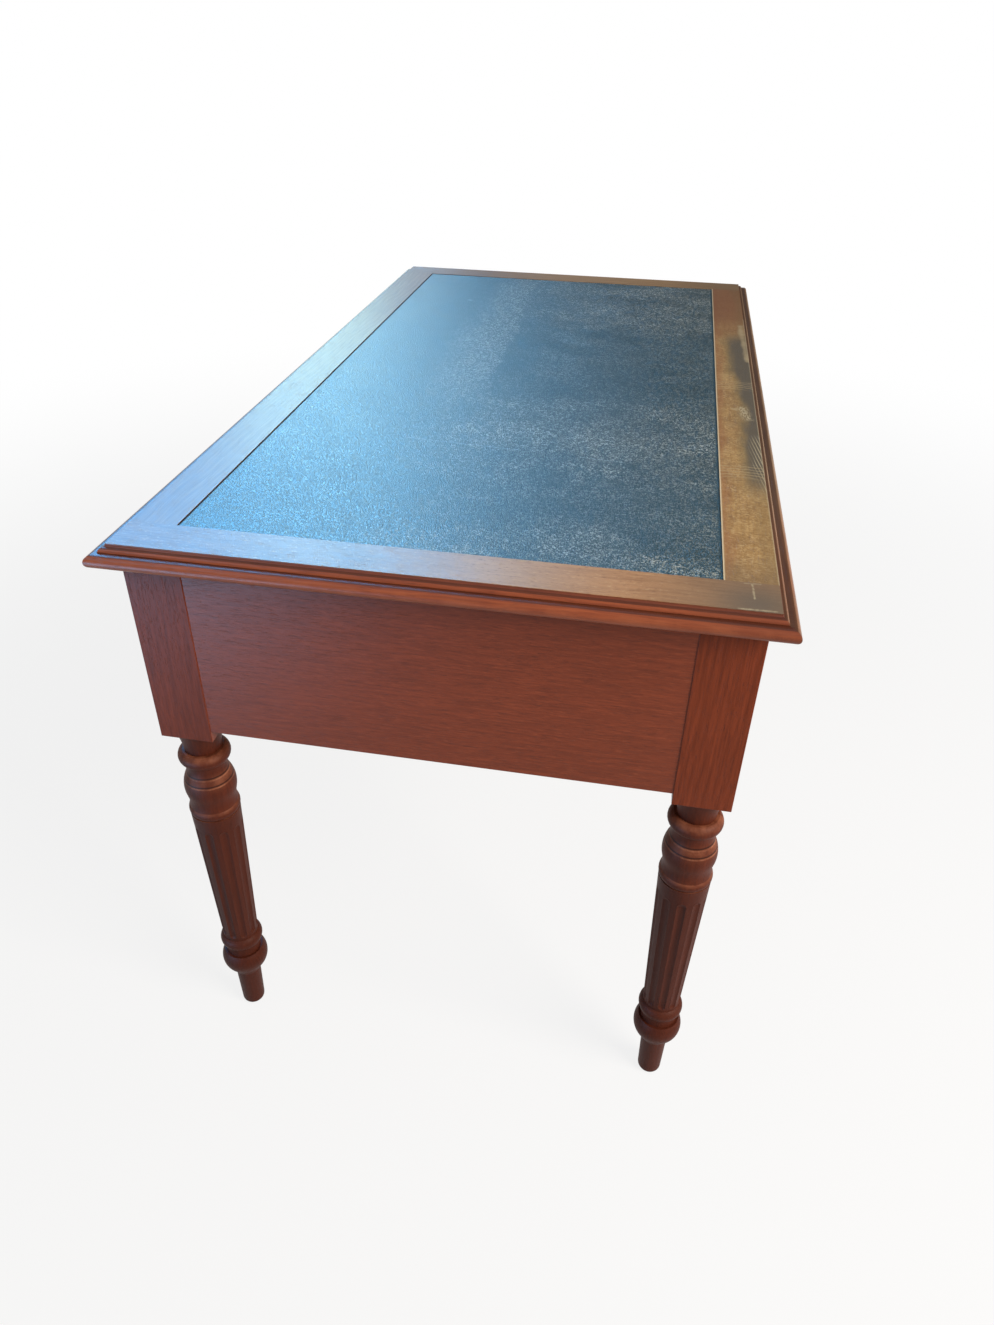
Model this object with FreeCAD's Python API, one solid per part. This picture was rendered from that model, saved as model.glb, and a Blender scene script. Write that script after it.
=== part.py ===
import FreeCAD, Part
import math
import os

Vector = FreeCAD.Vector

# Sizes in millimetres: X runs along the table, the sitter is on the -Y side, Z is up from the floor.

# Whole table
table_length = 1270.0
table_depth = 682.0
table_height = 760.0
end_overhang = 28.0
side_overhang = 23.0

# Top: moulded frame, ground panel and leather
top_thickness = 22.0
border_flat = 51.0
moulding_reach = 17.5
step_run = 2.0
step_fall = 3.5
bead_run = 4.5
bead_fall = 4.5
panel_thickness = 15.0
tongue_thickness = 6.0
tongue_length = 8.0
tongue_room = 1.0
top_tenon_length = 25.0
top_tenon_shoulder = 5.0
leather_thickness = 1.2
leather_recess = 0.8
leather_gap = 0.4

# Frame under the top
leg_square = 62.0
frieze_depth = 214.0
block_drop = 14.0
frame_setback = 1.0
arris_radius = 0.8
apron_thickness = 22.0
rail_height = 22.0
divider_width = 36.0
apron_tenon_length = 30.0
apron_tenon_thickness = 8.0
apron_tenon_shoulder = 18.0
apron_tenon_gap = 30.0
rail_tenon_length = 28.0
rail_tenon_height = 10.0
rail_tenon_width = 16.0
rail_tenon_gap = 14.0
rail_tail_length = 24.0
rail_tail_thickness = 14.0
rail_tail_root = 26.0
rail_tail_tip = 36.0
divider_tenon_length = 9.0
divider_tenon_thickness = 10.0
divider_tenon_shoulder = 14.0
mortise_room = 1.5

# Turned leg below the block, member by member from the top down
block_cove_height = 33.5
block_cove_top_radius = 28.5
block_cove_foot_radius = 21.5
upper_ring_height = 18.5
upper_ring_radius = 30.8
upper_ring_root_radius = 24.8
neck_height = 17.5
neck_radius = 24.0
bulb_height = 32.0
bulb_top_radius = 26.0
bulb_radius = 30.9
bulb_foot_radius = 29.6
waist_height = 17.5
waist_radius = 28.2
collar_height = 12.0
collar_root_radius = 29.0
collar_radius = 30.9
shaft_top_radius = 30.2
shaft_foot_radius = 23.0
lower_ring_height = 19.0
lower_ring_radius = 28.0
groove_height = 13.0
groove_radius = 22.0
cup_height = 38.5
cup_lip_radius = 26.0
cup_radius = 30.6
cup_foot_radius = 19.5
ankle_height = 9.0
foot_height = 70.0
foot_top_radius = 16.8
foot_radius = 15.2
foot_rounding = 8.0

# Flutes of the shaft
flute_count = 10
flute_depth = 2.6
flute_top_stop = 20.0
flute_foot_stop = 5.0

# Drawer carriage
runner_thickness = 20.0
runner_bearing = 24.0
runner_tongue_thickness = 8.0
runner_tongue_length = 8.0
runner_tongue_shoulder = 4.0
guide_width = 20.0
guide_height = 25.0
stop_length = 40.0
stop_width = 16.0
stop_height = 6.0

# Drawers
drawer_rear_space = 52.0
drawer_side_gap = 0.75
drawer_head_gap = 1.5
drawer_running_gap = 0.3
drawer_front_thickness = 20.0
drawer_side_thickness = 11.0
drawer_side_drop = 2.0
drawer_edge_radius = 2.5
drawer_back_thickness = 10.0
drawer_back_drop = 8.0
drawer_bottom_thickness = 7.0
drawer_bottom_rise = 10.0
drawer_groove_depth = 5.0
front_lap = 6.0
front_tail_count = 4
back_tail_count = 3

# Turned knobs
knob_projection = 22.0
knob_radius = 17.0
knob_neck_radius = 8.0
knob_base_radius = 11.0
knob_base_height = 3.0
knob_spigot_radius = 6.0
knob_fit = 0.15

# Screws that hold the top
screw_length = 37.0
screw_bite = 14.0
screw_head_radius = 4.0
screw_head_height = 2.5
screw_shank_radius = 2.0
screw_point_length = 4.0
screw_room = 0.3
pocket_angle = 15.0
pocket_cover = 1.2

# Reach of every cut past the face that it opens
cut_overrun = 5.0

# Proportions
arc_share = math.sqrt(0.5)
half_share = 0.5
block_cove_mid_shares = (0.3, 0.55)
cup_belly_share = 0.42
flute_width_share = 0.66
tail_width_share = 0.68
tail_slope_share = 1.0 / 7.0
knob_crown_share = 0.55
knob_place_shares = (-0.5, 0.5)
stop_place_shares = (-0.5, 0.5)
front_screw_shares = (-0.72, -0.28, 0.28, 0.72)
end_screw_shares = (-0.5, 0.5)
back_screw_shares = (-0.75, -0.25, 0.25, 0.75)

# Places that follow from the sizes
rail_width = border_flat + moulding_reach
inner_x = table_length / 2 - rail_width
inner_y = table_depth / 2 - rail_width
top_under = table_height - top_thickness
panel_top = table_height - leather_recess - leather_thickness
panel_under = panel_top - panel_thickness
tongue_under = panel_under + (panel_thickness - tongue_thickness) / 2
tongue_top = tongue_under + tongue_thickness
leg_face_x = table_length / 2 - end_overhang
leg_face_y = table_depth / 2 - side_overhang
leg_inner_x = leg_face_x - leg_square
leg_inner_y = leg_face_y - leg_square
leg_axis_x = leg_face_x - leg_square / 2
leg_axis_y = leg_face_y - leg_square / 2
frieze_bottom = top_under - frieze_depth
block_bottom = frieze_bottom - block_drop
frame_face_x = leg_face_x - frame_setback
frame_face_y = leg_face_y - frame_setback
apron_inner_x = frame_face_x - apron_thickness
apron_inner_y = frame_face_y - apron_thickness
apron_mid_x = frame_face_x - apron_thickness / 2
apron_mid_y = frame_face_y - apron_thickness / 2
rail_mid_y = (frame_face_y + leg_inner_y) / 2
opening_bottom = frieze_bottom + rail_height
opening_top = top_under - rail_height
opening_width = leg_inner_x - divider_width / 2
opening_mid_x = (leg_inner_x + divider_width / 2) / 2
drawer_half_width = opening_width / 2 - drawer_side_gap
drawer_under = opening_bottom + drawer_running_gap
drawer_top = opening_top - drawer_head_gap
drawer_side_top = drawer_top - drawer_side_drop
drawer_inner_y = -frame_face_y + drawer_front_thickness
drawer_end_y = apron_inner_y - drawer_rear_space
drawer_bottom_under = drawer_under + drawer_bottom_rise
drawer_bottom_top = drawer_bottom_under + drawer_bottom_thickness


# Shared shape helpers

def block(x0, x1, y0, y1, z0, z1):
    """A box between two corners given in any order."""
    corner = Vector(min(x0, x1), min(y0, y1), min(z0, z1))
    return Part.makeBox(abs(x1 - x0), abs(y1 - y0), abs(z1 - z0), corner)


def line(start, end):
    return Part.LineSegment(start, end).toShape()


def arc(start, middle, end):
    return Part.Arc(start, middle, end).toShape()


def prism(points, travel):
    """A straight-sided solid: a polygon pushed along a vector."""
    return Part.Face(Part.makePolygon(points + points[:1])).extrude(travel)


def turned(edges):
    """A solid of revolution about Z from an outline in the XZ plane, with the axis closed."""
    wire = Part.Wire(edges)
    start = wire.OrderedVertexes[0].Point
    end = wire.OrderedVertexes[-1].Point
    closed = Part.Wire(edges + [line(end, start)])
    return Part.Face(closed).revolve(Vector(0, 0, 0), Vector(0, 0, 1), 360)


def joined(pieces):
    return pieces[0].fuse(pieces[1:]).removeSplitter()


def eased(board, radius, chosen):
    """A board with the chosen ones of its sharp edges rounded over."""
    return board.makeFillet(radius, [edge for edge in board.Edges if chosen(edge.BoundBox)])


def eased_foot(board, long_side):
    """A board or rail whose two long edges at the bottom of the frieze are softened."""
    def chosen(box):
        return box.ZMax < frieze_bottom + arris_radius and max(box.XLength, box.YLength) > long_side
    return eased(board, arris_radius, chosen)


# Top

def moulded_section(half_size, place):
    """The top's section across, moulded on both edges; place(across, z) puts it in space."""
    nosing_radius = (top_thickness - step_fall - bead_fall) / 2
    arris = half_size - moulding_reach
    step = arris + step_run
    bead = step + bead_run
    nosing = half_size - nosing_radius
    step_z = table_height - step_fall
    bead_z = step_z - bead_fall
    edges = []
    for side in (-1, 1):
        def at(across, z):
            return place(side * across, z)
        hollow = at(step - step_run * arc_share, table_height - step_fall * arc_share)
        swell = at(step + bead_run * arc_share, bead_z + bead_fall * arc_share)
        edges.append(arc(at(arris, table_height), hollow, at(step, step_z)))
        edges.append(arc(at(step, step_z), swell, at(bead, bead_z)))
        edges.append(line(at(bead, bead_z), at(nosing, bead_z)))
        crest = at(half_size, top_under + nosing_radius)
        edges.append(arc(at(nosing, bead_z), crest, at(nosing, top_under)))
    edges.append(line(place(-arris, table_height), place(arris, table_height)))
    edges.append(line(place(-nosing, top_under), place(nosing, top_under)))
    return Part.Face(Part.Wire(Part.__sortEdges__(edges)))


def moulded_frame():
    """The four top rails in one, with the panel's groove, before they are parted."""
    along = moulded_section(table_depth / 2, lambda across, z: Vector(-table_length / 2, across, z))
    cross = moulded_section(table_length / 2, lambda across, z: Vector(across, -table_depth / 2, z))
    slab = along.extrude(Vector(table_length, 0, 0)).common(cross.extrude(Vector(0, table_depth, 0)))
    well = block(-inner_x, inner_x, -inner_y, inner_y, top_under - cut_overrun, table_height + cut_overrun)
    reach = tongue_length + tongue_room
    groove = block(-inner_x - reach, inner_x + reach, -inner_y - reach, inner_y + reach,
                   tongue_under, tongue_top)
    return slab.cut([well, groove])


def top_tenon(x_side, y_side, room):
    """The tenon of a long top rail; room deepens it for the mortise."""
    near = inner_y + tongue_length + tongue_room + top_tenon_shoulder
    far = inner_y + border_flat - top_tenon_shoulder
    return block(x_side * inner_x, x_side * (inner_x + top_tenon_length + room),
                 y_side * near, y_side * far, tongue_under, tongue_top)


def top_end_rail(frame, x_side):
    part = block(x_side * inner_x, x_side * table_length, -table_depth, table_depth, 0, table_height)
    mortises = [top_tenon(x_side, y_side, mortise_room) for y_side in (-1, 1)]
    bores = [screw_bore(*end_screw(x_side, share)) for share in end_screw_shares]
    return frame.common(part).cut(mortises + bores)


def top_long_rail(frame, y_side, bores):
    part = block(-inner_x, inner_x, y_side * inner_y, y_side * table_depth, 0, table_height)
    tenons = [top_tenon(x_side, y_side, 0) for x_side in (-1, 1)]
    return joined([frame.common(part)] + tenons).cut(bores)


def top_panel():
    tongue_x = inner_x + tongue_length
    tongue_y = inner_y + tongue_length
    board = block(-inner_x, inner_x, -inner_y, inner_y, panel_under, panel_top)
    tongue = block(-tongue_x, tongue_x, -tongue_y, tongue_y, tongue_under, tongue_top)
    return joined([board, tongue])


def leather_inset():
    half_x = inner_x - leather_gap
    half_y = inner_y - leather_gap
    return block(-half_x, half_x, -half_y, half_y, panel_top, panel_top + leather_thickness)


# Screws that hold the top

def screw():
    point = screw_length - screw_point_length
    outline = [(0, 0), (screw_head_radius, 0), (screw_shank_radius, screw_head_height),
               (screw_shank_radius, point), (0, screw_length)]
    spots = [Vector(radius, 0, height) for radius, height in outline]
    return turned([line(a, b) for a, b in zip(spots, spots[1:])])


def screw_bore(head, direction, pocket):
    """The hole that a screw needs, with a pocket of a given length behind its head."""
    wide = screw_head_radius + screw_room
    narrow = screw_shank_radius + screw_room
    outline = [(0, -pocket), (wide, -pocket), (wide, 0), (narrow, screw_head_height),
               (narrow, screw_length + screw_room), (0, screw_length + screw_room)]
    spots = [Vector(radius, 0, height) for radius, height in outline]
    bore = turned([line(a, b) for a, b in zip(spots, spots[1:])])
    return along(bore, head, direction)


def along(shape, start, direction):
    """A shape built on Z, moved so that it starts at a point and runs in a direction."""
    placed = shape.copy()
    placed.Placement = FreeCAD.Placement(start, FreeCAD.Rotation(Vector(0, 0, 1), direction))
    return placed


def pocket_screw(inner_point, outward):
    """Head, direction and pocket of a screw that leans outward, its head just inside an apron's inner face."""
    lean = math.radians(pocket_angle)
    direction = outward * math.sin(lean) + Vector(0, 0, math.cos(lean))
    sunk = screw_length - screw_bite
    inset = sunk * math.sin(lean) + screw_head_radius * math.cos(lean) + pocket_cover
    head = inner_point + outward * inset - direction * sunk
    wide = screw_head_radius + screw_room
    pocket = inset / math.sin(lean) - sunk + wide / math.tan(lean) + cut_overrun
    return head, direction, pocket


def end_screw(x_side, share):
    inner_point = Vector(x_side * apron_inner_x, share * leg_inner_y, top_under)
    return pocket_screw(inner_point, Vector(x_side, 0, 0))


def back_screw(share):
    inner_point = Vector(share * leg_inner_x, apron_inner_y, top_under)
    return pocket_screw(inner_point, Vector(0, 1, 0))


def front_screw(share):
    """A straight screw through the front rail, midway between the panel's groove and the rail's face."""
    sunk = screw_length - screw_bite
    groove_y = inner_y + tongue_length + tongue_room
    head = Vector(share * leg_inner_x, -(groove_y + frame_face_y) / 2, top_under - sunk)
    return head, Vector(0, 0, 1), rail_height + cut_overrun - sunk


def top_screws():
    places = [front_screw(share) for share in front_screw_shares]
    places += [back_screw(share) for share in back_screw_shares]
    places += [end_screw(x_side, share) for x_side in (-1, 1) for share in end_screw_shares]
    return Part.Compound([along(screw(), head, direction) for head, direction, pocket in places])


# Legs

def turning_levels():
    """Heights of the joints between the members, from the block down to the foot."""
    falls = (block_cove_height, upper_ring_height, neck_height, bulb_height, waist_height, collar_height)
    levels = [block_bottom]
    for fall in falls:
        levels.append(levels[-1] - fall)
    rises = (ankle_height, cup_height, groove_height, lower_ring_height)
    lower = [foot_height]
    for rise in rises:
        lower.append(lower[-1] + rise)
    return levels + lower[::-1]


def turning():
    """The turned part of a leg, from the block to the rounded foot."""
    (block_z, cove_z, ring_z, neck_z, bulb_z, waist_z, collar_z,
     shaft_foot_z, lower_ring_z, cup_top_z, cup_foot_z, foot_z) = turning_levels()

    def at(radius, z):
        return Vector(radius, 0, z)

    def member(top_radius, top_z, mid_radius, foot_radius_here, foot_z_here):
        middle = at(mid_radius, (top_z + foot_z_here) / 2)
        return arc(at(top_radius, top_z), middle, at(foot_radius_here, foot_z_here))

    radius_part, height_part = block_cove_mid_shares
    cove_mid = at(block_cove_foot_radius + radius_part * (block_cove_top_radius - block_cove_foot_radius),
                  block_z - height_part * block_cove_height)
    belly = at(cup_radius, cup_top_z - cup_belly_share * cup_height)
    toe_radius = foot_radius - foot_rounding
    toe = at(toe_radius + foot_rounding * arc_share, foot_rounding * (1 - arc_share))
    edges = [
        line(at(0, block_z), at(block_cove_top_radius, block_z)),
        arc(at(block_cove_top_radius, block_z), cove_mid, at(block_cove_foot_radius, cove_z)),
        line(at(block_cove_foot_radius, cove_z), at(upper_ring_root_radius, cove_z)),
        member(upper_ring_root_radius, cove_z, upper_ring_radius, upper_ring_root_radius, ring_z),
        member(upper_ring_root_radius, ring_z, neck_radius, bulb_top_radius, neck_z),
        member(bulb_top_radius, neck_z, bulb_radius, bulb_foot_radius, bulb_z),
        member(bulb_foot_radius, bulb_z, waist_radius, collar_root_radius, waist_z),
        member(collar_root_radius, waist_z, collar_radius, collar_root_radius, collar_z),
        line(at(collar_root_radius, collar_z), at(shaft_top_radius, collar_z)),
        line(at(shaft_top_radius, collar_z), at(shaft_foot_radius, shaft_foot_z)),
        member(shaft_foot_radius, shaft_foot_z, lower_ring_radius, shaft_foot_radius, lower_ring_z),
        member(shaft_foot_radius, lower_ring_z, groove_radius, shaft_foot_radius, cup_top_z),
        line(at(shaft_foot_radius, cup_top_z), at(cup_lip_radius, cup_top_z)),
        arc(at(cup_lip_radius, cup_top_z), belly, at(cup_foot_radius, cup_foot_z)),
        line(at(cup_foot_radius, cup_foot_z), at(foot_top_radius, foot_z)),
        line(at(foot_top_radius, foot_z), at(foot_radius, foot_rounding)),
        arc(at(foot_radius, foot_rounding), toe, at(toe_radius, 0)),
        line(at(toe_radius, 0), at(0, 0)),
    ]
    return turned(edges)


def flutes():
    """Round-ended tapering cutters set evenly about the shaft."""
    levels = turning_levels()
    top_z = levels[6]
    foot_z = levels[7]
    taper = (shaft_top_radius - shaft_foot_radius) / (top_z - foot_z)

    def end_of_flute(z, inward):
        """Centre and radius of the ball that ends a flute at a height."""
        radius = shaft_foot_radius + taper * (z - foot_z)
        depth = flute_depth * radius / shaft_top_radius
        half_width = flute_width_share * math.pi * radius / flute_count
        ball = (half_width ** 2 + depth ** 2) / (2 * depth)
        return Vector(radius + ball - depth, 0, z + inward * half_width), ball

    low, low_ball = end_of_flute(foot_z + flute_foot_stop, 1)
    high, high_ball = end_of_flute(top_z - flute_top_stop, -1)
    reach = (high - low).Length
    low_turn = Vector(low_ball * arc_share, 0, -low_ball * arc_share)
    high_turn = Vector(high_ball * arc_share, 0, reach + high_ball * arc_share)
    cutter = turned([
        arc(Vector(0, 0, -low_ball), low_turn, Vector(low_ball, 0, 0)),
        line(Vector(low_ball, 0, 0), Vector(high_ball, 0, reach)),
        arc(Vector(high_ball, 0, reach), high_turn, Vector(0, 0, reach + high_ball)),
    ])
    first = along(cutter, low, high - low)
    cutters = []
    for number in range(flute_count):
        turn = first.copy()
        turn.rotate(Vector(0, 0, 0), Vector(0, 0, 1), number * 360 / flute_count)
        cutters.append(turn)
    return cutters


def leg_blank():
    half = leg_square / 2
    square = block(-half, half, -half, half, block_bottom, top_under)
    square = eased(square, arris_radius, lambda box: box.ZMin < top_under)
    return joined([square, turning().cut(flutes())])


def leg(blank, x_side, y_side):
    placed = blank.copy()
    placed.translate(Vector(x_side * leg_axis_x, y_side * leg_axis_y, 0))
    mortises = end_apron_tenons(x_side, y_side, mortise_room)
    if y_side > 0:
        mortises += back_apron_tenons(x_side, mortise_room)
    else:
        mortises += bottom_rail_tenons(x_side, mortise_room)
        mortises.append(top_rail_tail(x_side))
    return placed.cut(mortises)


# Aprons and front rails

def apron_tenon_levels():
    tall = (frieze_depth - 2 * apron_tenon_shoulder - apron_tenon_gap) / 2
    low = frieze_bottom + apron_tenon_shoulder
    high = low + tall + apron_tenon_gap
    return ((low, low + tall), (high, high + tall))


def end_apron_tenons(x_side, y_side, room):
    near = x_side * (apron_mid_x - apron_tenon_thickness / 2)
    far = x_side * (apron_mid_x + apron_tenon_thickness / 2)
    end = y_side * (leg_inner_y + apron_tenon_length + room)
    return [block(near, far, y_side * leg_inner_y, end, z0, z1) for z0, z1 in apron_tenon_levels()]


def back_apron_tenons(x_side, room):
    near = apron_mid_y - apron_tenon_thickness / 2
    far = apron_mid_y + apron_tenon_thickness / 2
    end = x_side * (leg_inner_x + apron_tenon_length + room)
    return [block(x_side * leg_inner_x, end, near, far, z0, z1) for z0, z1 in apron_tenon_levels()]


def end_apron(x_side):
    board = block(x_side * apron_inner_x, x_side * frame_face_x, -leg_inner_y, leg_inner_y,
                  frieze_bottom, top_under)
    tenons = end_apron_tenons(x_side, -1, 0) + end_apron_tenons(x_side, 1, 0)
    bores = [screw_bore(*end_screw(x_side, share)) for share in end_screw_shares]
    return joined([eased_foot(board, apron_thickness)] + tenons).cut(bores)


def back_apron():
    board = block(-leg_inner_x, leg_inner_x, apron_inner_y, frame_face_y, frieze_bottom, top_under)
    tenons = back_apron_tenons(-1, 0) + back_apron_tenons(1, 0)
    bores = [screw_bore(*back_screw(share)) for share in back_screw_shares]
    return joined([eased_foot(board, apron_thickness)] + tenons).cut(bores + carriage_tongues(1))


def top_rail_tail(x_side):
    """The dovetail that drops the front top rail into a leg."""
    root = x_side * leg_inner_x
    tip = x_side * (leg_inner_x + rail_tail_length)
    z = top_under - rail_tail_thickness
    corners = [Vector(root, -rail_mid_y - rail_tail_root / 2, z),
               Vector(tip, -rail_mid_y - rail_tail_tip / 2, z),
               Vector(tip, -rail_mid_y + rail_tail_tip / 2, z),
               Vector(root, -rail_mid_y + rail_tail_root / 2, z)]
    return prism(corners, Vector(0, 0, rail_tail_thickness))


def bottom_rail_tenons(x_side, room):
    end = x_side * (leg_inner_x + rail_tenon_length + room)
    z0 = frieze_bottom + (rail_height - rail_tenon_height) / 2
    tenons = []
    for y_side in (-1, 1):
        near = -rail_mid_y + y_side * rail_tenon_gap / 2
        far = near + y_side * rail_tenon_width
        tenons.append(block(x_side * leg_inner_x, end, near, far, z0, z0 + rail_tenon_height))
    return tenons


def front_rail(z0):
    return block(-leg_inner_x, leg_inner_x, -frame_face_y, -leg_inner_y, z0, z0 + rail_height)


def divider_tenons():
    """Stub tenons at the foot and the head of the drawer divider."""
    half = divider_tenon_thickness / 2
    near = -frame_face_y + divider_tenon_shoulder
    far = -leg_inner_y - divider_tenon_shoulder
    foot = block(-half, half, near, far, opening_bottom - divider_tenon_length, opening_bottom)
    head = block(-half, half, near, far, opening_top, opening_top + divider_tenon_length)
    return [foot, head]


def front_top_rail():
    rail = joined([front_rail(opening_top), top_rail_tail(-1), top_rail_tail(1)])
    bores = [screw_bore(*front_screw(share)) for share in front_screw_shares]
    return rail.cut(bores + divider_tenons() + carriage_tongues(-1))


def front_bottom_rail():
    rail = eased_foot(front_rail(frieze_bottom), leg_square)
    tenons = bottom_rail_tenons(-1, 0) + bottom_rail_tenons(1, 0)
    return joined([rail] + tenons).cut(divider_tenons() + carriage_tongues(-1))


def drawer_divider():
    half = divider_width / 2
    upright = block(-half, half, -frame_face_y, -leg_inner_y, opening_bottom, opening_top)
    return joined([upright] + divider_tenons())


# Drawer carriage

def carriage_strip(x0, x1, z0, z1):
    """A board from the front rails to the back apron, notched round the back legs."""
    strip = block(x0, x1, -leg_inner_y, apron_inner_y, z0, z1)
    notches = [block(x_side * leg_inner_x, x_side * table_length, leg_inner_y, table_depth, 0, table_height)
               for x_side in (-1, 1)]
    return strip.cut(notches)


def carriage_places():
    """Name, start, end and tongue limits along X of the left, centre and right strips."""
    edge = leg_inner_x - runner_bearing
    middle = divider_width / 2 + runner_bearing
    tongue_end = leg_inner_x - runner_tongue_shoulder
    return (("left", -apron_inner_x, -edge, -tongue_end, -edge),
            ("centre", -middle, middle, -middle, middle),
            ("right", edge, apron_inner_x, edge, tongue_end))


def strip_levels():
    """Lower and upper faces of the runners and of the kickers."""
    return {"runner": (opening_bottom - runner_thickness, opening_bottom), "kicker": (opening_top, top_under)}


def strip_tongues(kind, x0, x1):
    z0, z1 = strip_levels()[kind]
    low = (z0 + z1 - runner_tongue_thickness) / 2
    high = low + runner_tongue_thickness
    front = block(x0, x1, -leg_inner_y - runner_tongue_length, -leg_inner_y, low, high)
    back = block(x0, x1, apron_inner_y, apron_inner_y + runner_tongue_length, low, high)
    return {-1: front, 1: back}


def carriage_tongues(y_side):
    """Every tongue of the runners and kickers at the front or at the back."""
    tongues = []
    for kind in strip_levels():
        for name, x0, x1, tongue_x0, tongue_x1 in carriage_places():
            tongues.append(strip_tongues(kind, tongue_x0, tongue_x1)[y_side])
    return tongues


def carriage_strips():
    strips = {}
    for kind, (z0, z1) in strip_levels().items():
        for name, x0, x1, tongue_x0, tongue_x1 in carriage_places():
            tongues = strip_tongues(kind, tongue_x0, tongue_x1)
            strips[f"{kind}_{name}"] = joined([carriage_strip(x0, x1, z0, z1), tongues[-1], tongues[1]])
    return strips


def guides():
    z0 = opening_bottom
    z1 = opening_bottom + guide_height
    far = leg_inner_x + guide_width
    half = divider_width / 2
    return {
        "guide_left": block(-far, -leg_inner_x, -leg_inner_y, leg_inner_y, z0, z1),
        "guide_centre": block(-half, half, -leg_inner_y, apron_inner_y, z0, z1),
        "guide_right": block(leg_inner_x, far, -leg_inner_y, leg_inner_y, z0, z1),
    }


def drawer_stops():
    near = drawer_inner_y + drawer_running_gap
    stops = []
    for x_side in (-1, 1):
        for share in stop_place_shares:
            x = x_side * opening_mid_x + share * opening_width / 2
            stops.append(block(x - stop_length / 2, x + stop_length / 2, near, near + stop_width,
                               opening_bottom, opening_bottom + stop_height))
    return Part.Compound(stops)


# Drawers

def tails(x0, x1, root_y, tip_y, z0, z1, count):
    """Dovetail tails on the end of a drawer side that is x0 to x1 thick."""
    pitch = (z1 - z0) / count
    wide = tail_width_share * pitch
    narrow = wide - 2 * tail_slope_share * abs(tip_y - root_y)
    shapes = []
    for number in range(count):
        middle = z0 + (number + half_share) * pitch
        corners = [Vector(x0, root_y, middle - narrow / 2), Vector(x0, tip_y, middle - wide / 2),
                   Vector(x0, tip_y, middle + wide / 2), Vector(x0, root_y, middle + narrow / 2)]
        shapes.append(prism(corners, Vector(x1 - x0, 0, 0)))
    return shapes


def side_limits(mid_x, x_side):
    """Outer and inner faces of a drawer side."""
    outer = mid_x + x_side * drawer_half_width
    return outer, outer - x_side * drawer_side_thickness


def front_tails(mid_x, x_side):
    outer, inner = side_limits(mid_x, x_side)
    return tails(inner, outer, drawer_inner_y, -frame_face_y + front_lap, drawer_under, drawer_side_top,
                 front_tail_count)


def back_tails(mid_x, x_side):
    outer, inner = side_limits(mid_x, x_side)
    return tails(inner, outer, drawer_end_y - drawer_back_thickness, drawer_end_y, drawer_bottom_top,
                 drawer_side_top - drawer_back_drop, back_tail_count)


def drawer_bottom(mid_x):
    half = drawer_half_width - drawer_side_thickness + drawer_groove_depth
    return block(mid_x - half, mid_x + half, drawer_inner_y - drawer_groove_depth, drawer_end_y,
                 drawer_bottom_under, drawer_bottom_top)


def drawer_side(mid_x, x_side):
    outer, inner = side_limits(mid_x, x_side)
    root_y = drawer_end_y - drawer_back_thickness
    board = block(inner, outer, drawer_inner_y, root_y, drawer_under, drawer_side_top)
    board = eased(board, drawer_edge_radius,
                  lambda box: box.ZMin > drawer_side_top - drawer_edge_radius and box.YLength > drawer_side_thickness)
    heel = block(inner, outer, root_y, drawer_end_y, drawer_under, drawer_bottom_top)
    pieces = [board, heel] + front_tails(mid_x, x_side) + back_tails(mid_x, x_side)
    return joined(pieces).cut(drawer_bottom(mid_x))


def drawer_front(mid_x):
    board = block(mid_x - drawer_half_width, mid_x + drawer_half_width, -frame_face_y, drawer_inner_y,
                  drawer_under, drawer_top)
    board = eased(board, arris_radius, lambda box: box.YMax < -frame_face_y + arris_radius)
    sockets = front_tails(mid_x, -1) + front_tails(mid_x, 1)
    return board.cut(sockets + [drawer_bottom(mid_x)] + knob_holes(mid_x))


def drawer_back(mid_x):
    board = block(mid_x - drawer_half_width, mid_x + drawer_half_width, drawer_end_y - drawer_back_thickness,
                  drawer_end_y, drawer_bottom_top, drawer_side_top - drawer_back_drop)
    return board.cut(back_tails(mid_x, -1) + back_tails(mid_x, 1))


def knob_centres(mid_x):
    z = (drawer_under + drawer_top) / 2
    return [Vector(mid_x + share * drawer_half_width, -frame_face_y, z) for share in knob_place_shares]


def knob_holes(mid_x):
    hole = Part.makeCylinder(knob_spigot_radius + knob_fit, drawer_front_thickness)
    return [along(hole, centre, Vector(0, 1, 0)) for centre in knob_centres(mid_x)]


def knob(centre):
    """A turned bun knob; its spigot passes through the drawer front."""
    crown = knob_projection * knob_crown_share
    neck = (knob_base_height + crown) / 2
    rim = (crown + knob_projection) / 2
    face = knob_radius * arc_share
    edges = [
        line(Vector(0, 0, -drawer_front_thickness), Vector(knob_spigot_radius, 0, -drawer_front_thickness)),
        line(Vector(knob_spigot_radius, 0, -drawer_front_thickness), Vector(knob_spigot_radius, 0, 0)),
        line(Vector(knob_spigot_radius, 0, 0), Vector(knob_base_radius, 0, 0)),
        line(Vector(knob_base_radius, 0, 0), Vector(knob_base_radius, 0, knob_base_height)),
        arc(Vector(knob_base_radius, 0, knob_base_height), Vector(knob_neck_radius, 0, neck),
            Vector(face, 0, crown)),
        arc(Vector(face, 0, crown), Vector(knob_radius, 0, rim), Vector(face, 0, knob_projection)),
        line(Vector(face, 0, knob_projection), Vector(0, 0, knob_projection)),
    ]
    return along(turned(edges), centre, Vector(0, -1, 0))


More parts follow.
